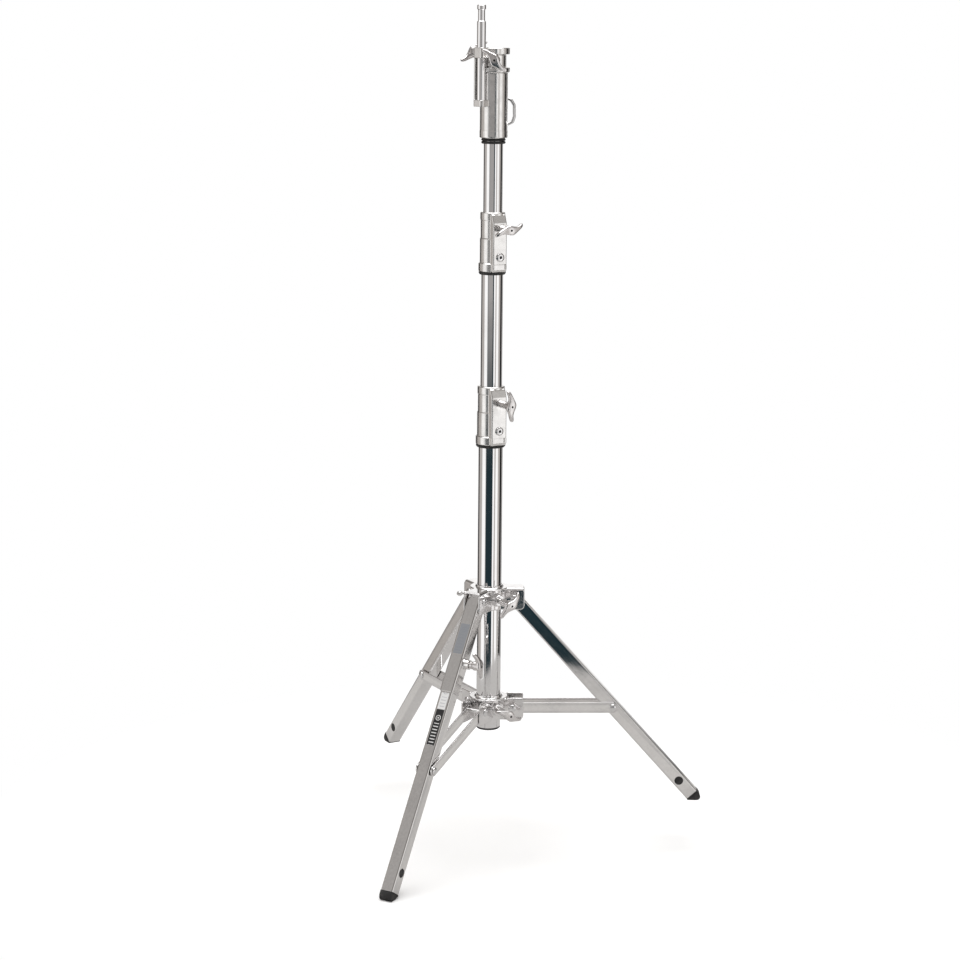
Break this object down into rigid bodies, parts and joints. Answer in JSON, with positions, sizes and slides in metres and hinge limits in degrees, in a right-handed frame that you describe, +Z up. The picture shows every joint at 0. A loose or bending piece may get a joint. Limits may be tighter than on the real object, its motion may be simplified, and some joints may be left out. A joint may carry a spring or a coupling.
{
  "type": "lighting stand",
  "caption": "Folding three-leg steel lighting stand with telescoping risers, a levelling leg, a socket head with a side spigot, and screw clamps.",
  "frame": {"origin": "on the ground, under the middle of the stand's bounding box; the ground is the lowest point of the front levelling foot", "axes": "+Z up along the column, +X towards the right leg, -Y towards the viewer and the front levelling leg"},
  "size_m": [0.6156, 0.6752, 1.5704],
  "materials": {
    "chrome": "bright chrome plating with soft vertical reflections",
    "satin_casting": "satin, lightly tumbled casting",
    "brushed_steel": "satin plated steel, grain along the length",
    "rubber": "matt black moulded rubber",
    "nylon": "natural nylon"
  },
  "bodies": {
    "base": {"base_tube": "chrome", "base_end_plug": "rubber", "base_clamp_body": "satin_casting", "base_clamp_gasket": "rubber", "base_clamp_screw": "chrome", "base_brake_shoe": "nylon", "lower_spider": "chrome", "lower_brake_shoe": "nylon", "lower_pivot_bolt_right": "chrome", "lower_pivot_bolt_rear": "chrome", "lower_pivot_bolt_front": "chrome"},
    "leg_collar": {"upper_spider": "chrome", "upper_brake_shoe": "nylon", "upper_pivot_bolt_right": "chrome", "upper_pivot_bolt_rear": "chrome", "upper_pivot_bolt_front": "chrome"},
    "right_leg": {"right_leg_tube": "brushed_steel", "right_rubber_foot": "rubber"},
    "rear_leg": {"rear_leg_tube": "brushed_steel", "rear_rubber_foot": "rubber"},
    "right_brace": {"right_brace_left": "brushed_steel", "right_brace_right": "brushed_steel", "right_brace_rivet_left": "chrome", "right_brace_rivet_right": "chrome"},
    "rear_brace": {"rear_brace_left": "brushed_steel", "rear_brace_right": "brushed_steel", "rear_brace_rivet_left": "chrome", "rear_brace_rivet_right": "chrome"},
    "levelling_sleeve": {"levelling_sleeve": "brushed_steel", "levelling_brake_shoe": "nylon"},
    "front_leg": {"front_leg_tube": "brushed_steel", "front_rubber_foot": "rubber"},
    "front_brace": {"front_brace_left": "brushed_steel", "front_brace_right": "brushed_steel", "front_brace_rivet_left": "chrome", "front_brace_rivet_right": "chrome"},
    "riser_1_glide": {"riser_1_glide": "nylon"},
    "riser_1": {"riser_1_tube": "chrome", "riser_clamp_body": "satin_casting", "riser_clamp_gasket": "rubber", "riser_clamp_screw": "chrome", "riser_brake_shoe": "nylon"},
    "riser_2_glide": {"riser_2_glide": "nylon"},
    "riser_2": {"riser_2_tube": "chrome", "receiver_body": "satin_casting", "bumper_ring_lower": "rubber", "bumper_ring_upper": "rubber", "cable_loop": "chrome", "spigot_carrier": "satin_casting"},
    "spigot": {"spigot": "chrome"},
    "base_clamp_handle": {"base_clamp_handle": "satin_casting"},
    "riser_clamp_handle": {"riser_clamp_handle": "satin_casting"},
    "upper_collar_handle": {"upper_collar_handle": "satin_casting"},
    "lower_collar_handle": {"lower_collar_handle": "satin_casting"},
    "receiver_handle": {"receiver_handle": "satin_casting"},
    "spigot_handle": {"spigot_handle": "satin_casting"},
    "levelling_handle": {"levelling_handle": "satin_casting"}
  },
  "joints": [
    {"name": "collar_fold", "type": "slide", "parent": "base", "child": "leg_collar", "axis": [0, 0, 1], "range_m": [0, 0.255]},
    {"name": "right_leg_fold", "type": "hinge", "parent": "leg_collar", "child": "right_leg", "pos_m": [-0.04839, -0.0178, 0.48041], "axis": [0, 1, 0], "range_deg": [-0.5, 37]},
    {"name": "right_brace_fold", "type": "hinge", "parent": "base", "child": "right_brace", "pos_m": [-0.05039, -0.0178, 0.26941], "axis": [0, 1, 0], "range_deg": [-81.3, 0.5]},
    {"name": "rear_leg_fold", "type": "hinge", "parent": "leg_collar", "child": "rear_leg", "pos_m": [-0.11889, 0.0229, 0.48041], "axis": [-0.866, -0.5, 0], "range_deg": [-0.5, 37]},
    {"name": "rear_brace_fold", "type": "hinge", "parent": "base", "child": "rear_brace", "pos_m": [-0.11789, 0.02117, 0.26941], "axis": [-0.866, -0.5, 0], "range_deg": [-81.3, 0.5]},
    {"name": "levelling_slide", "type": "slide", "parent": "levelling_sleeve", "child": "front_leg", "axis": [-0.2694, -0.4665, -0.8425], "range_m": [-0.046, 0]},
    {"name": "front_leg_fold", "type": "hinge", "parent": "leg_collar", "child": "levelling_sleeve", "pos_m": [-0.11889, -0.0585, 0.48041], "axis": [0.866, -0.5, 0], "range_deg": [-0.5, 14.6]},
    {"name": "front_brace_fold", "type": "hinge", "parent": "base", "child": "front_brace", "pos_m": [-0.11789, -0.05677, 0.26941], "axis": [0.866, -0.5, 0], "range_deg": [-76.3, 0.5]},
    {"name": "riser_1_slide", "type": "slide", "parent": "base", "child": "riser_1_glide", "axis": [0, 0, 1], "range_m": [-0.204, 0.285]},
    {"name": "riser_1_swivel", "type": "hinge", "parent": "riser_1_glide", "child": "riser_1", "pos_m": [-0.09539, -0.0178, 0.45241], "axis": [0, 0, 1], "continuous": true},
    {"name": "riser_2_slide", "type": "slide", "parent": "riser_1", "child": "riser_2_glide", "axis": [0, 0, 1], "range_m": [-0.12, 0.44]},
    {"name": "riser_2_swivel", "type": "hinge", "parent": "riser_2_glide", "child": "riser_2", "pos_m": [-0.09539, -0.0178, 0.59841], "axis": [0, 0, 1], "continuous": true},
    {"name": "spigot_slide", "type": "slide", "parent": "riser_2", "child": "spigot", "axis": [0, 0, 1], "range_m": [-0.076, 0]},
    {"name": "base_handle_turn", "type": "hinge", "parent": "base", "child": "base_clamp_handle", "pos_m": [-0.06539, -0.06976, 0.85141], "axis": [0.5, -0.866, 0], "range_deg": [0, 270]},
    {"name": "riser_handle_turn", "type": "hinge", "parent": "riser_1", "child": "riser_clamp_handle", "pos_m": [-0.06539, -0.06976, 1.17141], "axis": [0.5, -0.866, 0], "range_deg": [0, 270]},
    {"name": "upper_collar_handle_turn", "type": "hinge", "parent": "leg_collar", "child": "upper_collar_handle", "pos_m": [-0.06539, -0.06976, 0.48041], "axis": [0.5, -0.866, 0], "range_deg": [0, 270]},
    {"name": "lower_collar_handle_turn", "type": "hinge", "parent": "base", "child": "lower_collar_handle", "pos_m": [-0.06539, -0.06976, 0.26941], "axis": [0.5, -0.866, 0], "range_deg": [0, 270]},
    {"name": "receiver_handle_turn", "type": "hinge", "parent": "riser_2", "child": "receiver_handle", "pos_m": [-0.09539, -0.0678, 1.47341], "axis": [0, -1, 0], "range_deg": [0, 270]},
    {"name": "spigot_handle_turn", "type": "hinge", "parent": "riser_2", "child": "spigot_handle", "pos_m": [-0.12826, -0.00385, 1.48741], "axis": [-0.2419, 0.9703, 0], "range_deg": [0, 270]},
    {"name": "levelling_handle_turn", "type": "hinge", "parent": "levelling_sleeve", "child": "levelling_handle", "pos_m": [-0.1255, -0.12996, 0.37847], "axis": [0.866, -0.5, 0], "range_deg": [0, 270]}
  ],
  "couplings": [
    {"joint": "right_leg_fold", "follows": "collar_fold", "rad_per_m": 2.4925},
    {"joint": "right_brace_fold", "follows": "collar_fold", "rad_per_m": -5.5252},
    {"joint": "rear_leg_fold", "follows": "collar_fold", "rad_per_m": 2.4925},
    {"joint": "rear_brace_fold", "follows": "collar_fold", "rad_per_m": -5.5252},
    {"joint": "front_leg_fold", "follows": "collar_fold", "rad_per_m": 0.96106},
    {"joint": "front_brace_fold", "follows": "collar_fold", "rad_per_m": -5.1828}
  ]
}
